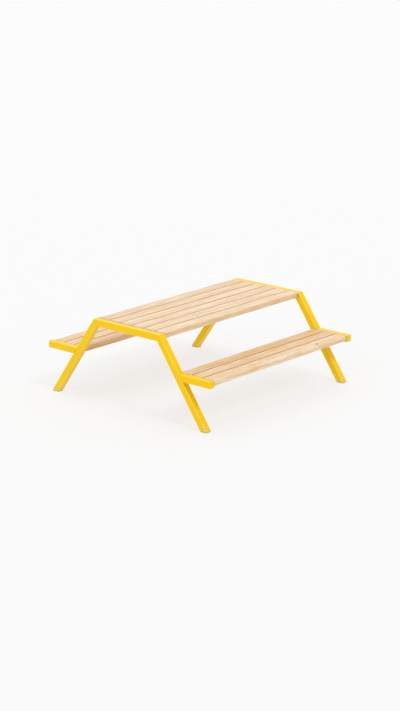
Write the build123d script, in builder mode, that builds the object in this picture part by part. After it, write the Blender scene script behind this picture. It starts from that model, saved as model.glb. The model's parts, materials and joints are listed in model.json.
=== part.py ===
# Picnic table with two attached benches: two welded square-tube end frames and timber slats.
# X runs along the slats, -Y is the front bench, +Y the back bench, Z is up.
# The origin is on the ground, under the centre of the tabletop. All sizes are in millimetres.

import os
from math import cos, radians, tan

from build123d import *

# ---- driving dimensions -------------------------------------------------------------------

HEIGHT = 735            # ground to the top of the tabletop
LENGTH = 1875           # outer face of one end frame to the outer face of the other
TOP_HALF = 377          # centre to the mitred corner of the top rail
LEG_ANGLE = 35          # splay of each leg from vertical
ARM_TOP = 442           # height of the bench arms
ARM_REACH = 920         # centre to the closed outer end of a bench arm

TUBE = 60               # square tube, outside
WALL = 3
CORNER = 5              # outside corner radius of the tube
CAP = 3                 # closing plate in the end of an arm
FOOT_PLATE = 3          # closing plate under a leg
PAD = 5                 # plastic pad under the foot plate
PAD_INSET = 3           # the pad's edge stands this far inside the foot plate

TABLE_SLATS = 6
TABLE_SLAT_WIDTH = 118
TABLE_GAP = 8
BENCH_SLATS = 3
BENCH_SLAT_WIDTH = 115
BENCH_GAP = 9
SLAT_THICKNESS = 44
SLAT_CLEARANCE = 5      # end of a slat to the tube beside it
BENCH_DROP = 2          # bench slats lie this far below the top of the arms
BENCH_INSET = 3         # outer edge of the bench to the closed end of the arm
TOP_ARRIS = 2           # radius along the upper edges of a slat
LOW_ARRIS = 2           # radius along the lower edges of a slat
END_ARRIS = 1.5         # radius round the ends of a slat
BULLNOSE = 18           # radius along the outer upper edge of a bench

LEDGE_WIDTH = 50        # flat bar welded to the inside of a frame, under the slats
BATTEN_WIDTH = 60       # flat bar across the middle of the slats
BAR_THICKNESS = 5
BAR_HOLE = 7            # clearance hole for a coach screw
TABLE_BAR_INSET = 34    # outer edge of the tabletop to the end of its ledges
BENCH_BAR_INSET = 18    # edges of a bench to the ends of its ledges

SCREW = 6               # coach screw shank
PILOT_DEPTH = 32        # depth of the pilot hole in the slat
TIP_CLEARANCE = 1       # end of the screw to the bottom of its pilot hole
PILOT_CLEARANCE = 0.1   # round the shank, in the slat
SCREW_PAIR = 60         # distance between the two screws across one slat
SCREW_TO_FRAME = 30     # distance from the tube to the first row of screws
HEX_FLATS = 10
HEX_HEIGHT = 4
FLANGE = 13
FLANGE_HEIGHT = 1.2

# ---- sizes that follow from them ----------------------------------------------------------

SPLAY = tan(radians(LEG_ANGLE))
FRAME_X = LENGTH / 2 - TUBE / 2                 # centre plane of an end frame
INNER_X = LENGTH / 2 - TUBE                     # inside face of an end frame
SLAT_HALF = INNER_X - SLAT_CLEARANCE
LEG_BOTTOM = PAD + FOOT_PLATE
ARM_CENTRE_Z = ARM_TOP - TUBE / 2

TABLE_WIDTH = TABLE_SLATS * TABLE_SLAT_WIDTH + (TABLE_SLATS - 1) * TABLE_GAP
TABLE_UNDERSIDE = HEIGHT - SLAT_THICKNESS
BENCH_TOP = ARM_TOP - BENCH_DROP
BENCH_UNDERSIDE = BENCH_TOP - SLAT_THICKNESS
BENCH_WIDTH = BENCH_SLATS * BENCH_SLAT_WIDTH + (BENCH_SLATS - 1) * BENCH_GAP
BENCH_OUTER = ARM_REACH - BENCH_INSET
BENCH_MIDDLE = BENCH_OUTER - BENCH_WIDTH / 2
TABLE_BAR_LENGTH = TABLE_WIDTH - 2 * TABLE_BAR_INSET
BENCH_BAR_LENGTH = BENCH_WIDTH - 2 * BENCH_BAR_INSET

ENDS = {"left": -1, "right": 1}
SIDES = {"front": -1, "back": 1}
SCREW_ROWS = {
    "left": -(INNER_X - SCREW_TO_FRAME),
    "middle": 0,
    "right": INNER_X - SCREW_TO_FRAME,
}


def leg_outer_y(z):
    """Distance from the centre plane to the outer side of a leg, at height z."""
    return TOP_HALF + (HEIGHT - z) * SPLAY


def slat_centres(count, width, gap, middle=0):
    """Y of each slat in a row of slats about the given middle."""
    pitch = width + gap
    return [middle + (i - (count - 1) / 2) * pitch for i in range(count)]


TABLE_YS = slat_centres(TABLE_SLATS, TABLE_SLAT_WIDTH, TABLE_GAP)
BENCH_YS = {
    side: slat_centres(BENCH_SLATS, BENCH_SLAT_WIDTH, BENCH_GAP, sign * BENCH_MIDDLE)
    for side, sign in SIDES.items()
}

os.makedirs("parts", exist_ok=True)


def save(part, name):
    """Label a finished piece and write its STEP file."""
    part.label = name
    export_step(part, f"parts/{name}.step")


def tube_section(plane):
    """Hollow square section with rounded corners, drawn on the given plane."""
    with BuildSketch(plane) as section:
        RectangleRounded(TUBE, TUBE, CORNER)
        RectangleRounded(TUBE - 2 * WALL, TUBE - 2 * WALL, CORNER - WALL, mode=Mode.SUBTRACT)
    return section.sketch


# ---- end frames ---------------------------------------------------------------------------

def mitre_plane(x, side):
    """Plane of the mitre at a top corner. Its normal points outwards and down, to the leg's side."""
    half = radians(90 + LEG_ANGLE) / 2
    normal = (0, side, -1 / tan(half))
    return Plane(origin=(x, side * TOP_HALF, HEIGHT), x_dir=(1, 0, 0), z_dir=normal)


def top_rail(x):
    """Level tube across the top of a frame, mitred at both ends."""
    with BuildPart() as rail:
        middle = Plane(origin=(x, 0, HEIGHT - TUBE / 2), x_dir=(1, 0, 0), z_dir=(0, 1, 0))
        extrude(tube_section(middle), amount=TOP_HALF + TUBE, both=True)
        for side in SIDES.values():
            split(bisect_by=mitre_plane(x, side), keep=Keep.BOTTOM)
    return rail.part


def leg(x, side):
    """Splayed tube from the mitre down to the foot plate, cut level at the bottom."""
    middle_z = HEIGHT / 2
    middle_y = side * (leg_outer_y(middle_z) - TUBE / 2 / cos(radians(LEG_ANGLE)))
    along = (0, side * SPLAY, -1)
    with BuildPart() as tube:
        middle = Plane(origin=(x, middle_y, middle_z), x_dir=(1, 0, 0), z_dir=along)
        extrude(tube_section(middle), amount=HEIGHT, both=True)
        split(bisect_by=mitre_plane(x, side), keep=Keep.TOP)
        split(bisect_by=Plane.XY.offset(LEG_BOTTOM), keep=Keep.TOP)
    return tube.part


def bench_arm(x, side):
    """Level tube from the outer side of a leg out to the end of the bench."""
    outwards = (0, side, 0)
    tube_end = ARM_REACH - CAP
    leg_face = Plane(
        origin=(x, side * leg_outer_y(ARM_TOP), ARM_TOP),
        x_dir=(1, 0, 0),
        z_dir=(0, side * cos(radians(LEG_ANGLE)), cos(radians(LEG_ANGLE)) * SPLAY),
    )
    with BuildPart() as arm:
        end = Plane(origin=(x, side * tube_end, ARM_CENTRE_Z), x_dir=(1, 0, 0), z_dir=outwards)
        extrude(tube_section(end), amount=-(tube_end - TOP_HALF))
        split(bisect_by=leg_face, keep=Keep.TOP)
    return arm.part


def arm_cap(x, side):
    """Plate that closes the outer end of a bench arm, with an eased outer face."""
    base = Plane(origin=(x, side * (ARM_REACH - CAP), ARM_CENTRE_Z), x_dir=(1, 0, 0), z_dir=(0, side, 0))
    with BuildPart() as cap:
        with BuildSketch(base):
            RectangleRounded(TUBE, TUBE, CORNER)
        extrude(amount=CAP)
        outer_face = cap.faces().sort_by(Axis.Y)[-1 if side > 0 else 0]
        fillet(outer_face.edges(), radius=CAP / 2)
    return cap.part


def foot_outline(x, side, z, inset=0):
    """Level outline of a foot: the tube's section where it is cut, drawn out by the splay."""
    length = TUBE / cos(radians(LEG_ANGLE))
    middle_y = side * (leg_outer_y(LEG_BOTTOM) - length / 2)
    with BuildSketch(Plane(origin=(x, middle_y, z))) as outline:
        RectangleRounded(TUBE - 2 * inset, length - 2 * inset, CORNER)
    return outline.sketch


def foot_plate(x, side):
    """Level plate that closes the bottom of a leg."""
    with BuildPart() as plate:
        outline = foot_outline(x, side, PAD)
        extrude(outline, amount=FOOT_PLATE)
    return plate.part


def foot_pad(x, side):
    """Thin pad that the leg stands on."""
    with BuildPart() as pad:
        outline = foot_outline(x, side, 0, PAD_INSET)
        extrude(outline, amount=PAD)
        fillet(pad.faces().sort_by(Axis.Z)[0].edges(), radius=PAD / 4)
    return pad.part


# ---- ledges and battens -------------------------------------------------------------------

def flat_bar(centre, width, length, holes):
    """Flat bar across the slats, under them, with a row of screw holes. holes are Y values."""
    with BuildPart() as bar:
        with BuildSketch(Plane.XY.move(Location(centre))):
            Rectangle(width, length)
        extrude(amount=-BAR_THICKNESS)
        fillet(bar.edges().filter_by(Axis.Z), radius=BAR_THICKNESS / 2)
        with Locations([(hole_x, y, centre[2]) for hole_x, y in holes]):
            Hole(BAR_HOLE / 2)
    return bar.part


def screw_points(row_x, slat_ys):
    """X and Y of every screw in one row."""
    offsets = (-SCREW_PAIR / 2, SCREW_PAIR / 2)
    return [(row_x, y + offset) for y in slat_ys for offset in offsets]


def ledge(end, slat_ys, middle_y, length, underside):
    """Bar welded to the inside face of an end frame."""
    centre = (end * (INNER_X - LEDGE_WIDTH / 2), middle_y, underside)
    row_x = end * (INNER_X - SCREW_TO_FRAME)
    return flat_bar(centre, LEDGE_WIDTH, length, screw_points(row_x, slat_ys))


def batten(slat_ys, middle_y, length, underside):
    """Bar across the middle of the slats, which keeps them level with each other."""
    return flat_bar((0, middle_y, underside), BATTEN_WIDTH, length, screw_points(0, slat_ys))


# ---- slats and screws ---------------------------------------------------------------------

def slat(width, middle_y, top_z, bullnose_side=0):
    """Timber slat with eased edges and pilot holes from below.

    bullnose_side is the sign of the side whose upper edge is fully rounded, or 0.
    """
    centre_z = top_z - SLAT_THICKNESS / 2
    start = Plane(origin=(-SLAT_HALF, middle_y, centre_z), x_dir=(0, 1, 0), z_dir=(1, 0, 0))
    with BuildPart() as board:
        with BuildSketch(start) as section:
            Rectangle(width, SLAT_THICKNESS)
            fillet(section.vertices().filter_by(lambda v: v.Y < 0), radius=LOW_ARRIS)
            for edge_side, place in ((-1, 0), (1, -1)):
                corner = section.vertices().filter_by(lambda v: v.Y > 0).sort_by(Axis.X)[place]
                fillet(corner, radius=BULLNOSE if edge_side == bullnose_side else TOP_ARRIS)
        extrude(amount=2 * SLAT_HALF)
        ends = board.faces().filter_by(Plane.YZ)
        fillet(ends.edges(), radius=END_ARRIS)
        holes = [p for row_x in SCREW_ROWS.values() for p in screw_points(row_x, [middle_y])]
        with BuildSketch(Plane.XY.offset(top_z - SLAT_THICKNESS)):
            with Locations(holes):
                Circle(SCREW / 2 + PILOT_CLEARANCE)
        extrude(amount=PILOT_DEPTH, mode=Mode.SUBTRACT)
    return board.part


def screw_row(points, bar_bottom):
    """Flanged hexagon coach screws, driven up through a bar into the slats."""
    head = Plane.XY.offset(bar_bottom - FLANGE_HEIGHT - HEX_HEIGHT)
    flange = Plane.XY.offset(bar_bottom - FLANGE_HEIGHT)
    shank = Plane.XY.offset(bar_bottom)
    with BuildPart() as screws:
        with BuildSketch(head):
            with Locations(points):
                RegularPolygon(HEX_FLATS / 2, 6, major_radius=False)
        extrude(amount=HEX_HEIGHT)
        with BuildSketch(flange):
            with Locations(points):
                Circle(FLANGE / 2)
        extrude(amount=FLANGE_HEIGHT)
        with BuildSketch(shank):
            with Locations(points):
                Circle(SCREW / 2)
        extrude(amount=BAR_THICKNESS + PILOT_DEPTH - TIP_CLEARANCE)
    return screws.part


# ---- make every piece ---------------------------------------------------------------------

for end_name, end in ENDS.items():
    x = end * FRAME_X
    save(top_rail(x), f"{end_name}_top_rail")
    save(ledge(end, TABLE_YS, 0, TABLE_BAR_LENGTH, TABLE_UNDERSIDE), f"{end_name}_table_ledge")
    for side_name, side in SIDES.items():
        corner = f"{end_name}_{side_name}"
        save(leg(x, side), f"{corner}_leg")
        save(bench_arm(x, side), f"{corner}_bench_arm")
        save(arm_cap(x, side), f"{corner}_arm_cap")
        save(foot_plate(x, side), f"{corner}_foot_plate")
        save(foot_pad(x, side), f"{corner}_foot_pad")
        bar_y = side * BENCH_MIDDLE
        bench_ledge = ledge(end, BENCH_YS[side_name], bar_y, BENCH_BAR_LENGTH, BENCH_UNDERSIDE)
        save(bench_ledge, f"{corner}_bench_ledge")

for number, y in enumerate(TABLE_YS, start=1):
    save(slat(TABLE_SLAT_WIDTH, y, HEIGHT), f"table_slat_{number}")

for side_name, side in SIDES.items():
    slat_ys = sorted(BENCH_YS[side_name], key=abs)
    for number, y in enumerate(slat_ys, start=1):
        outermost = number == BENCH_SLATS
        board = slat(BENCH_SLAT_WIDTH, y, BENCH_TOP, side if outermost else 0)
        save(board, f"{side_name}_bench_slat_{number}")
    bench_batten = batten(slat_ys, side * BENCH_MIDDLE, BENCH_BAR_LENGTH, BENCH_UNDERSIDE)
    save(bench_batten, f"{side_name}_bench_batten")

save(batten(TABLE_YS, 0, TABLE_BAR_LENGTH, TABLE_UNDERSIDE), "table_batten")

for row_name, row_x in SCREW_ROWS.items():
    points = screw_points(row_x, TABLE_YS)
    save(screw_row(points, TABLE_UNDERSIDE - BAR_THICKNESS), f"table_screws_{row_name}")
    for side_name in SIDES:
        points = screw_points(row_x, BENCH_YS[side_name])
        save(screw_row(points, BENCH_UNDERSIDE - BAR_THICKNESS), f"{side_name}_bench_screws_{row_name}")
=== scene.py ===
import json
import math
import random

import bmesh
import bpy
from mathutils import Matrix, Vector, noise


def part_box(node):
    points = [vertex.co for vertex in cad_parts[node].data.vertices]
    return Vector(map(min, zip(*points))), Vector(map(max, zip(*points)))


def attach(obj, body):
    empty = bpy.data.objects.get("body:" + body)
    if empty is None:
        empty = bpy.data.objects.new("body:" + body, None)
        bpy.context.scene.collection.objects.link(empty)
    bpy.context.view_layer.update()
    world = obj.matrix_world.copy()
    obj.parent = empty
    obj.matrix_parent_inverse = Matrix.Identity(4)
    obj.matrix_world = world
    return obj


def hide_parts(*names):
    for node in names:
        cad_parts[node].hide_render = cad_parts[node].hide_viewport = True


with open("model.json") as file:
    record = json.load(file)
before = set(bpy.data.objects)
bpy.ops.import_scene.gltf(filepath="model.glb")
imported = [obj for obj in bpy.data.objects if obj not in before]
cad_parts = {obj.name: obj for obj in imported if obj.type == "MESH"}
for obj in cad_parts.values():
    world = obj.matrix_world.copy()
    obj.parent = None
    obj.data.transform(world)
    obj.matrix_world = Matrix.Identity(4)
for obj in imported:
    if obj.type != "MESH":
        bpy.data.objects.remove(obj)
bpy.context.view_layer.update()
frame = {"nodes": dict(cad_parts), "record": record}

# A picnic table: two yellow powder-coated end frames and pale timber slats.
# All lengths are in metres, in the part's own frame.

NODES = frame["nodes"]
MM = 0.001

# ---- camera -------------------------------------------------------------------------------

VIEW_AZIMUTH = math.radians(48.66)      # from +Y towards +X, the way the camera looks
VIEW_ELEVATION = math.radians(16.50)    # how steeply it looks down
VIEW_DISTANCE = 17.046
VIEW_LENS = 176.7                       # focal length in millimetres on the sensor below
SENSOR_WIDTH = 36
AIM_RIGHT = -0.0058                     # how far the aim is from the table's middle,
AIM_UP = -0.0855                        # along the picture's width and its height


def add_camera():
    """A camera that looks along the table from its front left, from a little above."""
    forward = Vector((
        math.sin(VIEW_AZIMUTH) * math.cos(VIEW_ELEVATION),
        math.cos(VIEW_AZIMUTH) * math.cos(VIEW_ELEVATION),
        -math.sin(VIEW_ELEVATION),
    ))
    right = Vector((math.cos(VIEW_AZIMUTH), -math.sin(VIEW_AZIMUTH), 0))
    up = right.cross(forward)
    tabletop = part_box("table_slat_1")[1].z
    aim = Vector((0, 0, tabletop / 2)) + right * AIM_RIGHT + up * AIM_UP
    data = bpy.data.cameras.new("camera")
    data.sensor_fit = "HORIZONTAL"
    data.sensor_width = SENSOR_WIDTH
    data.lens = VIEW_LENS
    data.clip_end = 500
    camera = bpy.data.objects.new("camera", data)
    camera.location = aim - forward * VIEW_DISTANCE
    camera.rotation_euler = forward.to_track_quat("-Z", "Y").to_euler()
    bpy.context.scene.collection.objects.link(camera)
    bpy.context.scene.camera = camera


# ---- light and floor ----------------------------------------------------------------------

BACKDROP_SKY = 1.05         # the room's brightness behind the table
CAMERA_SKY = 0.68           # and behind the camera
LAMPS = {                   # direction each lamp stands in, its strength and its spread in degrees
    "side": ((-1.00, -0.10, 0.45), 0.58, 40),
    "top": ((-0.10, -0.80, 1.0), 0.70, 14),
    "back": ((0.20, 0.40, 1.0), 0.25, 30),
}
FLOOR_SIZE = 400
FLOOR_DIFFUSE = 0.24        # the floor reflects little and glows a good deal,
FLOOR_GLOW = 0.67           # so shadows on it are faint


def add_light():
    """A white room, brightest at its backdrop, with soft lamps to the side, above and behind."""
    scene = bpy.context.scene
    scene.view_settings.view_transform = "Standard"
    world = bpy.data.worlds.new("room")
    world.use_nodes = True
    nodes, links = world.node_tree.nodes, world.node_tree.links
    sky = nodes["Background"]
    sky.inputs["Color"].default_value = (1, 1, 1, 1)
    towards = nodes.new("ShaderNodeVectorMath")
    towards.operation = "DOT_PRODUCT"
    towards.inputs[1].default_value = (math.sin(VIEW_AZIMUTH), math.cos(VIEW_AZIMUTH), 0)
    links.new(nodes.new("ShaderNodeTexCoord").outputs["Generated"], towards.inputs[0])
    gradient = nodes.new("ShaderNodeMapRange")
    for socket, number in zip(gradient.inputs[1:5], (-1, 1, CAMERA_SKY, BACKDROP_SKY)):
        socket.default_value = number
    links.new(towards.outputs["Value"], gradient.inputs["Value"])
    links.new(gradient.outputs["Result"], sky.inputs["Strength"])
    scene.world = world
    for name, (direction, strength, spread) in LAMPS.items():
        data = bpy.data.lights.new(name, "SUN")
        data.energy = strength
        data.angle = math.radians(spread)
        lamp = bpy.data.objects.new(name, data)
        lamp.rotation_euler = Vector(direction).to_track_quat("Z", "Y").to_euler()
        scene.collection.objects.link(lamp)


def add_floor():
    """Plain pale floor that the table stands on, which glows softly itself."""
    mesh = bpy.data.meshes.new("floor")
    half = FLOOR_SIZE / 2
    corners = [(-half, -half, 0), (half, -half, 0), (half, half, 0), (-half, half, 0)]
    mesh.from_pydata(corners, [], [(0, 1, 2, 3)])
    floor = bpy.data.objects.new("floor", mesh)
    bpy.context.scene.collection.objects.link(floor)
    material = bpy.data.materials.new("floor")
    material.use_nodes = True
    shader = material.node_tree.nodes["Principled BSDF"]
    shader.inputs["Base Color"].default_value = (FLOOR_DIFFUSE, FLOOR_DIFFUSE, FLOOR_DIFFUSE, 1)
    shader.inputs["Emission Color"].default_value = (1, 1, 1, 1)
    shader.inputs["Emission Strength"].default_value = FLOOR_GLOW
    shader.inputs["Roughness"].default_value = 0.95
    shader.inputs["Specular IOR Level"].default_value = 0.1
    mesh.materials.append(material)


# ---- shader helpers -----------------------------------------------------------------------

class Nodes:
    """Short calls for building one material's node tree."""

    def __init__(self, name):
        self.material = bpy.data.materials.new(name)
        self.material.use_nodes = True
        self.tree = self.material.node_tree
        self.shader = self.tree.nodes["Principled BSDF"]

    def add(self, kind, **settings):
        node = self.tree.nodes.new(kind)
        for key, value in settings.items():
            setattr(node, key, value)
        return node

    def link(self, source, target):
        self.tree.links.new(source, target)

    def feed(self, socket, value):
        """Link a socket, or set a plain number or colour on it."""
        if isinstance(value, bpy.types.NodeSocket):
            self.link(value, socket)
        else:
            socket.default_value = value

    def math(self, operation, *values):
        node = self.add("ShaderNodeMath", operation=operation)
        for socket, value in zip(node.inputs, values):
            self.feed(socket, value)
        return node.outputs[0]

    def vector(self, operation, *values):
        node = self.add("ShaderNodeVectorMath", operation=operation)
        for socket, value in zip(node.inputs, values):
            self.feed(socket, value)
        return node.outputs["Value" if operation == "LENGTH" else "Vector"]

    def attribute(self, name, output="Vector"):
        return self.add("ShaderNodeAttribute", attribute_name=name).outputs[output]

    def separate(self, vector):
        """The X, Y and Z sockets of a vector."""
        node = self.add("ShaderNodeSeparateXYZ")
        self.link(vector, node.inputs[0])
        return node.outputs

    def sideways(self):
        """How far the surface faces along X, from 0 to 1."""
        normal = self.add("ShaderNodeTexCoord").outputs["Normal"]
        return self.math("ABSOLUTE", self.separate(normal)["X"])

    def noise(self, vector, scale, detail=2.0, roughness=0.5, output="Fac"):
        node = self.add("ShaderNodeTexNoise")
        self.link(vector, node.inputs["Vector"])
        node.inputs["Scale"].default_value = scale
        node.inputs["Detail"].default_value = detail
        node.inputs["Roughness"].default_value = roughness
        return node.outputs[output]

    def ramp(self, value, stops):
        """Grey ramp from (position, grey) stops."""
        node = self.add("ShaderNodeValToRGB")
        elements = node.color_ramp.elements
        while len(elements) < len(stops):
            elements.new(0.5)
        for element, (position, grey) in zip(elements, stops):
            element.position = position
            element.color = rgb(grey, grey, grey)
        self.link(value, node.inputs["Fac"])
        return node.outputs["Color"]

    def spread(self, value, low, high, out_low=0.0, out_high=1.0):
        """Map a range of values smoothly to another."""
        node = self.add("ShaderNodeMapRange", interpolation_type="SMOOTHSTEP")
        for socket, number in zip(node.inputs, (value, low, high, out_low, out_high)):
            self.feed(socket, number)
        return node.outputs["Result"]

    def mix(self, factor, first, second, blend="MIX"):
        node = self.add("ShaderNodeMix", data_type="RGBA", blend_type=blend)
        self.feed(node.inputs["Factor"], factor)
        self.feed(node.inputs["A"], first)
        self.feed(node.inputs["B"], second)
        return node.outputs["Result"]

    def bump(self, height, distance, strength=1.0, normal=None):
        node = self.add("ShaderNodeBump")
        node.inputs["Strength"].default_value = strength
        node.inputs["Distance"].default_value = distance
        self.link(height, node.inputs["Height"])
        if normal is not None:
            self.link(normal, node.inputs["Normal"])
        return node.outputs["Normal"]


def rgb(red, green, blue):
    """Opaque colour from linear red, green and blue."""
    return (red, green, blue, 1)


# ---- materials ----------------------------------------------------------------------------

DUST_TOP = 0.10             # height up to which dust lies on the powder coat
DUST_FULL = 0.005           # and below which it is thickest
RING_WIDTH = 4.6 * MM       # width of one year's growth
RING_BEND = 6 * MM          # how far the rings bend round a knot


def powder_coat():
    """Satin yellow powder coat: fine orange peel, a painted highlight along the corners, dusty near the
    ground.
    """
    n = Nodes("powder_coat")
    place = n.add("ShaderNodeTexCoord").outputs["Object"]
    drift = n.noise(place, 4.0, detail=3)
    peel = n.noise(place, 420.0, detail=2, roughness=0.6)
    grain = n.noise(place, 2600.0, detail=1)
    dust = n.spread(n.separate(place)["Z"], DUST_TOP, DUST_FULL, 0.0, 0.35)
    dust = n.math("MULTIPLY", dust, n.noise(place, 55.0, detail=4, roughness=0.7))
    body = n.mix(drift, rgb(0.865, 0.535, 0.0020), rgb(0.895, 0.585, 0.0035))
    speck = n.spread(n.noise(place, 900.0, detail=1), 0.66, 0.74, 0.0, 0.10)
    body = n.mix(speck, body, rgb(0.98, 0.72, 0.06))
    body = n.mix(dust, body, rgb(0.62, 0.50, 0.30))

    # the flat faces of every tube face straight along X or not at all, so its corners lie between
    sideways = n.sideways()
    # painted highlight: the rounded corners are painted paler, as a line of light along each tube's edges
    corner_highlight = n.math("MULTIPLY", n.spread(sideways, 0.05, 0.50), n.spread(sideways, 0.98, 0.80))
    body = n.mix(n.math("MULTIPLY", corner_highlight, 0.45), body, rgb(0.97, 0.80, 0.22))
    n.link(body, n.shader.inputs["Base Color"])

    n.link(n.spread(drift, 0.3, 0.7, 0.30, 0.37), n.shader.inputs["Roughness"])
    coarse = n.bump(peel, 0.25 * MM, 0.35)
    n.link(n.bump(grain, 0.05 * MM, 0.3, coarse), n.shader.inputs["Normal"])
    n.shader.inputs["IOR"].default_value = 1.50
    n.shader.inputs["Specular Tint"].default_value = rgb(1.0, 0.62, 0.02)
    return n.material


def timber():
    """Pale sealed softwood, sawn from a log: the growth rings are cut through as solid wood is.

    Each slat holds its place in its log as "grain", the way from its knot's middle with the
    knot's radius as Z in "knot", its own tone, with painted shade on the benches' inner slats, as
    "tone_and_shade", and "gap_shade", which is 1 on a side that looks into the gap to the next
    slat, where shade is painted.
    """
    n = Nodes("timber")
    grain = n.attribute("grain")
    knot = n.separate(n.attribute("knot"))
    tone_and_shade = n.attribute("tone_and_shade", "Fac")
    gap_shade = n.attribute("gap_shade", "Fac")

    # how deep in the knot each point is, 1 at its middle, and how much the grain bends round it
    across = n.math("POWER", knot["Y"], 2.0)
    along = n.math("POWER", n.math("MULTIPLY", knot["X"], 0.8), 2.0)
    away = n.math("SQRT", n.math("ADD", across, along))
    ragged = n.math("MULTIPLY", n.math("SUBTRACT", n.noise(grain, 160.0, detail=2), 0.5), 0.5)
    share = n.math("ADD", n.math("DIVIDE", away, knot["Z"]), ragged)
    inside = n.spread(share, 1.15, 0.85)
    bend = n.spread(share, 5.0, 0.6)

    # distance from the pith, wavering along the log
    stretched = n.vector("MULTIPLY", grain, (1.1, 9.0, 9.0))
    waver = n.noise(stretched, 1.0, detail=2, roughness=0.45, output="Color")
    waver = n.vector("MULTIPLY", n.vector("SUBTRACT", waver, (0.5, 0.5, 0.5)), (0.0, 0.024, 0.024))
    section = n.vector("MULTIPLY", n.vector("ADD", grain, waver), (0.0, 1.0, 1.0))
    radius = n.vector("LENGTH", section)
    radius = n.math("ADD", radius, n.math("MULTIPLY", bend, RING_BEND))

    # growth rings: pale early wood that darkens into a sharp late line
    year = n.math("DIVIDE", radius, RING_WIDTH)
    uneven = n.noise(n.vector("MULTIPLY", grain, (0.3, 60.0, 60.0)), 1.0, detail=1)
    year = n.math("ADD", year, n.math("MULTIPLY", uneven, 1.3))
    stops = [(0.0, 0.10), (0.45, 0.16), (0.80, 0.75), (0.93, 1.0), (1.0, 0.10)]
    ring = n.ramp(n.math("FRACT", year), stops)

    # long streaks of fibre, broad and fine, and patches where the saw met the rings at another angle
    streak = n.noise(n.vector("MULTIPLY", grain, (1.4, 45.0, 45.0)), 1.0, detail=3, roughness=0.6)
    patch = n.noise(n.vector("MULTIPLY", grain, (4.0, 24.0, 24.0)), 1.0, detail=5, roughness=0.7)
    fibre = n.noise(n.vector("MULTIPLY", grain, (14.0, 900.0, 900.0)), 1.0, detail=2, roughness=0.6)
    pores = n.noise(n.vector("MULTIPLY", grain, (40.0, 2400.0, 2400.0)), 1.0, detail=1)

    cream = rgb(0.885, 0.785, 0.63)
    honey = rgb(0.77, 0.56, 0.335)
    body = n.mix(n.spread(streak, 0.36, 0.66), cream, honey)
    body = n.mix(n.spread(patch, 0.42, 0.60, 0.0, 0.75), body, rgb(0.71, 0.485, 0.265))
    body = n.mix(n.math("MULTIPLY", ring, 0.60), body, rgb(0.68, 0.405, 0.18))
    body = n.mix(n.spread(fibre, 0.48, 0.74, 0.0, 0.36), body, rgb(0.56, 0.36, 0.20))
    # each slat's own tone and, on the benches' inner slats, painted shade from the tabletop, multiplied
    # in as a golden tint
    body = n.mix(tone_and_shade, body, rgb(0.94, 0.83, 0.66), blend="MULTIPLY")
    # painted shade: the sides that look into the gap to the next slat are painted dark reddish brown
    body = n.mix(n.math("MULTIPLY", gap_shade, 0.85), body, rgb(0.52, 0.20, 0.065))

    # painted shade: the slat ends, which face the frame across a narrow slot, are painted nearly black
    end = n.spread(n.sideways(), 0.6, 0.95)
    body = n.mix(n.math("MULTIPLY", end, 0.85), body, rgb(0.12, 0.065, 0.035))

    # knots: dark brown and ringed, in a warm halo
    knot_rings = n.math("FRACT", n.math("MULTIPLY", inside, 3.6))
    knot_body = n.mix(knot_rings, rgb(0.12, 0.04, 0.018), rgb(0.26, 0.095, 0.04))
    halo = n.math("MULTIPLY", n.spread(bend, 0.25, 0.95), 0.25)
    body = n.mix(halo, body, rgb(0.72, 0.42, 0.19))
    body = n.mix(inside, body, knot_body)
    n.link(body, n.shader.inputs["Base Color"])

    rough = n.math("ADD", n.spread(fibre, 0.3, 0.8, 0.34, 0.46), n.math("MULTIPLY", end, 0.25))
    n.link(rough, n.shader.inputs["Roughness"])
    n.shader.inputs["IOR"].default_value = 1.45
    n.shader.inputs["Specular Tint"].default_value = rgb(1.0, 0.80, 0.55)
    n.shader.inputs["Sheen Weight"].default_value = 0.30
    n.shader.inputs["Sheen Roughness"].default_value = 0.3
    relief = n.bump(ring, 0.12 * MM, 0.5)
    relief = n.bump(fibre, 0.10 * MM, 0.5, relief)
    n.link(n.bump(pores, 0.05 * MM, 0.4, relief), n.shader.inputs["Normal"])
    return n.material


def zinc():
    """Bright zinc plate on the screws, slightly mottled."""
    n = Nodes("zinc")
    place = n.add("ShaderNodeTexCoord").outputs["Object"]
    mottle = n.noise(place, 240.0, detail=3, roughness=0.6)
    n.link(n.mix(mottle, rgb(0.50, 0.50, 0.51), rgb(0.70, 0.70, 0.69)), n.shader.inputs["Base Color"])
    n.link(n.spread(mottle, 0.3, 0.7, 0.28, 0.46), n.shader.inputs["Roughness"])
    n.shader.inputs["Metallic"].default_value = 1.0
    n.link(n.bump(n.noise(place, 1500.0), 0.05 * MM, 0.4), n.shader.inputs["Normal"])
    return n.material


def pad_plastic():
    """Black moulded plastic under the feet, with a fine sandy texture."""
    n = Nodes("pad_plastic")
    place = n.add("ShaderNodeTexCoord").outputs["Object"]
    wear = n.noise(place, 90.0, detail=4, roughness=0.65)
    n.link(n.mix(wear, rgb(0.012, 0.012, 0.012), rgb(0.045, 0.043, 0.04)), n.shader.inputs["Base Color"])
    n.link(n.spread(wear, 0.3, 0.7, 0.55, 0.72), n.shader.inputs["Roughness"])
    n.link(n.bump(n.noise(place, 1800.0, detail=2), 0.1 * MM, 0.6), n.shader.inputs["Normal"])
    return n.material


def dress_cad_nodes(materials):
    """Every CAD node gets the material of its slot."""
    for part in frame["record"]["subparts"]:
        node = NODES[part["node"]]
        node.data.materials.clear()
        node.data.materials.append(materials[part["material_slot"]])


# ---- timber slats -------------------------------------------------------------------------

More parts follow.
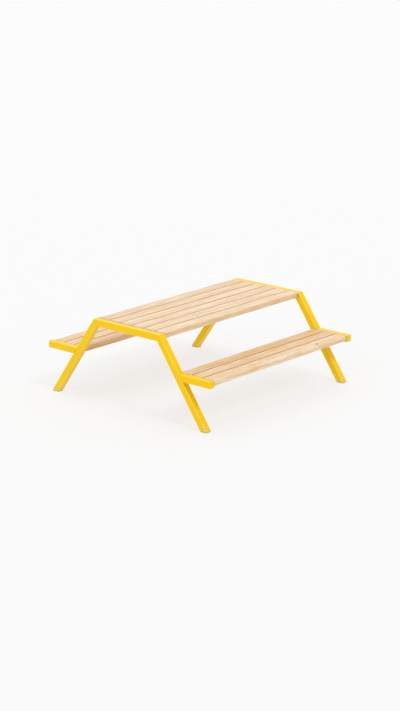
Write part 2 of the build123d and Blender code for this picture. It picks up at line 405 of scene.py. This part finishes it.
TOP_ARRIS = 2 * MM          # rounding of a slat's upper edges,
LOW_ARRIS = 2 * MM          # of its lower edges
END_ARRIS = 1.5 * MM        # and round its ends
BULLNOSE = 18 * MM          # rounding of each bench's outer upper edge
ARC_STEPS = 6
END_STEPS = 4
END_RINGS = (0.86, 0.6, 0.3)    # loops of points across an end, as shares of the way from its middle
FACE_STEP = 8 * MM          # spacing of points across a face
STATION_STEP = 14 * MM      # spacing of sections along a slat
PLANING = 0.25 * MM         # height of the slight waves left on the surface
BROAD_WAVES = Vector((5, 26, 26))       # scale of those waves along and across a slat
FINE_WAVES = Vector((22, 90, 90))
FINE_SHARE = 0.4            # height of the fine waves, as a share of the broad ones'
SUNK = 0.7                  # how far the waves' middle lies below the CAD surface, as a share of PLANING
SAW_MARKS = 120             # scale of the unevenness of an end
WANDER = 0.5 * MM           # how far a slat bows, up or sideways
PITH_BELOW = (0.035, 0.110)     # range of the pith's depth under a slat
PITH_ASIDE = 0.060          # how far the pith may lie to one side of it
PITH_ABOVE_CHANCE = 0.4     # share of the slats that lie the other way up in their logs
LOG_TILT = 0.012            # how far a slat may run off its log's axis, per metre
LOG_PLACES = 40             # length over which the slats' places along their logs vary
KNOT_CHANCE = 0.25          # share of the slats that have a knot
KNOT_RADIUS = (3 * MM, 5 * MM)
KNOT_SPREAD = (0.95, 0.40)  # how far out a knot may lie, as shares of half the length and of the width
BENCH_KNOT_RADIUS = 12 * MM
BENCH_KNOT = {"front_bench_slat_3": (0.509, 0.32)}      # metres along, and half widths outwards
NO_KNOT = (9.0, 0.0, KNOT_RADIUS[0])        # well off the slat
SIDE_LEAN = 0.7             # a point whose normal leans this far sideways belongs to a side
# the tabletop's slats differ in their own tone; the benches' inner slats are painted more golden as shade
# from the tabletop above
TONES_AND_SHADE = {                   # 0 is the palest slat and 1 the most golden, with painted shade on the benches
    "table_slat_1": 0.1, "table_slat_2": 0.1, "table_slat_3": 0.2,
    "table_slat_4": 0.0, "table_slat_5": 0.3, "table_slat_6": 0.4,
    "front_bench_slat_1": 1.0, "front_bench_slat_2": 0.5, "front_bench_slat_3": 0.0,
    "back_bench_slat_1": 1.0, "back_bench_slat_2": 0.6, "back_bench_slat_3": 0.4,
}


def section_outline(width, height, radii):
    """Points and outward normals round a rounded rectangle, from the lower left corner.

    radii are for the lower left, lower right, upper right and upper left corners.
    """
    half_w, half_h = width / 2, height / 2
    corners = [(-half_w, -half_h), (half_w, -half_h), (half_w, half_h), (-half_w, half_h)]
    points, normals = [], []
    for i, ((x, y), radius) in enumerate(zip(corners, radii)):
        centre_x = x - math.copysign(radius, x)
        centre_y = y - math.copysign(radius, y)
        start = math.pi + i * math.pi / 2
        for step in range(ARC_STEPS + 1):
            angle = start + step * math.pi / 2 / ARC_STEPS
            normal = (math.cos(angle), math.sin(angle))
            points.append((centre_x + radius * normal[0], centre_y + radius * normal[1]))
            normals.append(normal)

        # straight on from there, facing as the arc does at its end, to where the next arc starts
        next_x, next_y = corners[(i + 1) % 4]
        next_radius = radii[(i + 1) % 4]
        last = points[-1]
        target = (
            next_x - math.copysign(next_radius, next_x) + next_radius * normal[0],
            next_y - math.copysign(next_radius, next_y) + next_radius * normal[1],
        )
        length = math.dist(last, target)
        count = max(1, round(length / FACE_STEP))
        for k in range(1, count):
            share = k / count
            points.append(tuple(a + share * (b - a) for a, b in zip(last, target)))
            normals.append(normal)
    return points, normals


def slat_stations(half_length):
    """(x, inset) of each section along a slat, with both ends rounded over."""
    angles = [math.pi / 2 * k / END_STEPS for k in range(END_STEPS + 1)]
    left = [(-half_length + END_ARRIS * (1 - math.cos(a)), END_ARRIS * (1 - math.sin(a))) for a in angles]
    inner = half_length - END_ARRIS
    count = round(2 * inner / STATION_STEP)
    middle = [(-inner + 2 * inner * k / count, 0.0) for k in range(1, count)]
    right = [(-x, inset) for x, inset in reversed(left)]
    return left + middle + right


def slat_mesh(name, rng):
    """One slat as a mesh, in place, with its place in its log stored on its points."""
    low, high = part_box(name)
    centre = (low + high) / 2
    width, height = high.y - low.y, high.z - low.z
    upper = [TOP_ARRIS, TOP_ARRIS]
    if name.endswith("bench_slat_3"):
        upper[1 if centre.y < 0 else 0] = BULLNOSE
    outline, normals = section_outline(width, height, [LOW_ARRIS, LOW_ARRIS, *upper])
    seed = Vector([rng.uniform(0, 50) for _ in range(3)])
    bow = [rng.uniform(-WANDER, WANDER) for _ in range(2)]

    def planed(x, point, normal, inset):
        """A point of the section at x, moved by the planer's waves and the slat's bow."""
        y, z = point[0] - normal[0] * inset, point[1] - normal[1] * inset
        wave = noise.noise(seed + BROAD_WAVES * Vector((x, y, z)))
        fine = noise.noise(seed + FINE_WAVES * Vector((x, y, z)))
        depth = PLANING * (wave + FINE_SHARE * fine - SUNK)
        arch = math.cos(math.pi * x / (high.x - low.x))
        return Vector((
            x,
            centre.y + y + normal[0] * depth + bow[0] * arch,
            centre.z + z + normal[1] * depth + min(bow[1], 0.0) * arch,
        ))

    shape = bmesh.new()
    rings = []
    for x, inset in slat_stations((high.x - low.x) / 2):
        rings.append([shape.verts.new(planed(x, p, nrm, inset)) for p, nrm in zip(outline, normals)])
    count = len(outline)
    for first, second in zip(rings, rings[1:]):
        for i in range(count):
            j = (i + 1) % count
            shape.faces.new((first[i], first[j], second[j], second[i]))
    for ring, inwards in ((rings[0], 1), (rings[-1], -1)):
        middle = sum((v.co for v in ring), Vector()) / count
        previous = ring
        for share in END_RINGS:
            loop = []
            for v in ring:
                spot = middle.lerp(v.co, share)
                ripple = noise.noise(seed + spot * SAW_MARKS)
                loop.append(shape.verts.new(spot + Vector((inwards * PLANING * (0.5 + ripple), 0, 0))))
            for i in range(count):
                j = (i + 1) % count
                shape.faces.new((previous[i], previous[j], loop[j], loop[i]))
            previous = loop
        hub = shape.verts.new(middle + Vector((inwards * PLANING, 0, 0)))
        for i in range(count):
            shape.faces.new((previous[i], previous[(i + 1) % count], hub))
    bmesh.ops.recalc_face_normals(shape, faces=shape.faces)
    mesh = bpy.data.meshes.new(name.replace("slat", "board"))
    shape.to_mesh(mesh)
    shape.free()
    mesh.polygons.foreach_set("use_smooth", [True] * len(mesh.polygons))
    store_grain(mesh, name, centre, width, (high.x - low.x) / 2, rng)
    return mesh


def store_grain(mesh, name, centre, width, half_length, rng):
    """Store each point's place in the log, its way from the knot, the slat's tone and painted shade, and
    its gap sides, which get painted shade.
    """
    pith = Vector((0, rng.uniform(-PITH_ASIDE, PITH_ASIDE), -rng.uniform(*PITH_BELOW)))
    if rng.random() < PITH_ABOVE_CHANCE:
        pith.z = -pith.z
    along = rng.uniform(0, LOG_PLACES)
    tilt = rng.uniform(-LOG_TILT, LOG_TILT)
    knot = knot_place(name, centre, width, half_length, rng)
    places = [vertex.co - centre for vertex in mesh.vertices]
    leans = [vertex.normal.y for vertex in mesh.vertices]
    closed = gap_sides(name, centre, width)
    store_vectors(mesh, "grain", [
        (along + p.x, p.y - pith.y + tilt * p.x, p.z - pith.z) for p in places
    ])
    store_vectors(mesh, "knot", [(p.x - knot[0], p.y - knot[1], knot[2]) for p in places])
    store_numbers(mesh, "tone_and_shade", [TONES_AND_SHADE[name]] * len(places))
    store_numbers(mesh, "gap_shade", [
        float(abs(lean) > SIDE_LEAN and math.copysign(1, lean) in closed) for lean in leans
    ])


def knot_place(name, centre, width, half_length, rng):
    """Where a slat's knot is, from the slat's middle, and its radius."""
    if name in BENCH_KNOT:
        x, outwards = BENCH_KNOT[name]
        return (x, math.copysign(outwards * width / 2, centre.y), BENCH_KNOT_RADIUS)
    if rng.random() < KNOT_CHANCE:
        x = rng.uniform(-KNOT_SPREAD[0], KNOT_SPREAD[0]) * half_length
        y = rng.uniform(-KNOT_SPREAD[1], KNOT_SPREAD[1]) * width
        return (x, y, rng.uniform(*KNOT_RADIUS))
    return NO_KNOT


def gap_sides(name, centre, width):
    """The sides of a slat, -1 or 1 along Y, that look across a gap at another slat."""
    sides = set()
    for other in NODES:
        if "slat" in other and other != name:
            low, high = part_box(other)
            middle = (low + high) / 2
            level = abs(middle.z - centre.z) < MM / 2
            if level and abs(middle.y - centre.y) < 1.5 * width:
                sides.add(math.copysign(1, middle.y - centre.y))
    return sides


def store_numbers(mesh, name, numbers):
    """Store one number for each point of a mesh."""
    attribute = mesh.attributes.new(name, "FLOAT", "POINT")
    attribute.data.foreach_set("value", numbers)


def store_vectors(mesh, name, vectors):
    """Store one vector for each point of a mesh."""
    attribute = mesh.attributes.new(name, "FLOAT_VECTOR", "POINT")
    attribute.data.foreach_set("vector", [number for vector in vectors for number in vector])


def add_slats(material):
    """Every timber slat, each cut from its own log."""
    names = sorted(name for name in NODES if "slat" in name)
    for index, name in enumerate(names):
        mesh = slat_mesh(name, random.Random(100 + index))
        mesh.materials.append(material)
        board = bpy.data.objects.new(mesh.name, mesh)
        bpy.context.scene.collection.objects.link(board)
        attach(board, "root")
        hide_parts(name)


# ---- welds --------------------------------------------------------------------------------

LEG_SPLAY = math.tan(math.radians(35))      # how far a leg leans out for each metre it drops
TUBE_CORNER = 5 * MM        # rounding of the tubes' corners, where the beads stop
BEAD = 2.2 * MM             # radius of a weld bead, centred on the line where two faces meet
BEAD_SIDES = 12
BEAD_STEP = 1.2 * MM        # spacing of the sections along a bead
RIPPLE = 4.5 * MM           # distance between the scales of a bead,
RIPPLE_SIZE = 0.12          # how much they swell it
UNEVEN = 0.05               # and how much its thickness varies at random
BEAD_END = 0.4              # thickness of a bead at its ends, as a share of the rest
STITCH = 45 * MM            # length of each weld under a ledge
STITCHES = 4                # welds under each ledge


def add_bead(shape, start, end, rng):
    """Add one weld bead to a mesh: a low rounded ridge with scales, from start to end."""
    along = (end - start).normalized()
    across = along.orthogonal().normalized()
    upright = along.cross(across)
    count = round((end - start).length / BEAD_STEP)
    rings = []
    for i in range(count + 1):
        scale = RIPPLE_SIZE * math.sin(2 * math.pi * i * BEAD_STEP / RIPPLE)
        swell = 1 + scale + rng.uniform(-UNEVEN, UNEVEN)
        if i in (0, count):
            swell = BEAD_END
        middle = start.lerp(end, i / count)
        ring = []
        for k in range(BEAD_SIDES):
            angle = 2 * math.pi * k / BEAD_SIDES
            outwards = across * math.cos(angle) + upright * math.sin(angle)
            ring.append(shape.verts.new(middle + outwards * BEAD * swell))
        rings.append(ring)
    for first, second in zip(rings, rings[1:]):
        for k in range(BEAD_SIDES):
            j = (k + 1) % BEAD_SIDES
            shape.faces.new((first[k], first[j], second[j], second[k]))
    shape.faces.new(rings[0])
    shape.faces.new(rings[-1])


def add_weld(name, lines, material, rng):
    """One painted piece that holds a group of weld beads, each from a start to an end."""
    shape = bmesh.new()
    for start, end in lines:
        add_bead(shape, start, end, rng)
    bmesh.ops.recalc_face_normals(shape, faces=shape.faces)
    mesh = bpy.data.meshes.new(name)
    shape.to_mesh(mesh)
    shape.free()
    mesh.polygons.foreach_set("use_smooth", [True] * len(mesh.polygons))
    mesh.materials.append(material)
    weld = bpy.data.objects.new(name, mesh)
    bpy.context.scene.collection.objects.link(weld)
    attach(weld, "root")


def add_welds(material):
    """Welds over and under each bench arm where it meets its leg, and short ones under each ledge."""
    rng = random.Random(7)
    for name in sorted(name for name in NODES if name.endswith("bench_arm")):
        low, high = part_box(name)
        leg_low, leg_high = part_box(name.replace("bench_arm", "leg"))
        foot_y = max(abs(leg_low.y), abs(leg_high.y))
        lines = []
        for z in (low.z, high.z):
            y = math.copysign(foot_y - (z - leg_low.z) * LEG_SPLAY, low.y)
            lines.append((Vector((low.x + TUBE_CORNER, y, z)), Vector((high.x - TUBE_CORNER, y, z))))
        add_weld(f"weld_{name}", lines, material, rng)
    for name in sorted(name for name in NODES if name.endswith("ledge")):
        low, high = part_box(name)
        x = low.x if low.x < 0 else high.x
        lines = []
        for k in range(STITCHES):
            y = low.y + (high.y - low.y) * (k + 0.5) / STITCHES
            lines.append((Vector((x, y - STITCH / 2, low.z)), Vector((x, y + STITCH / 2, low.z))))
        add_weld(f"weld_{name}", lines, material, rng)


# ---- make everything ----------------------------------------------------------------------

add_camera()
add_light()
add_floor()
MATERIALS = {
    "powder_coat": powder_coat(),
    "timber": timber(),
    "screw_steel": zinc(),
    "pad_plastic": pad_plastic(),
}
dress_cad_nodes(MATERIALS)
add_slats(MATERIALS["timber"])
add_welds(MATERIALS["powder_coat"])
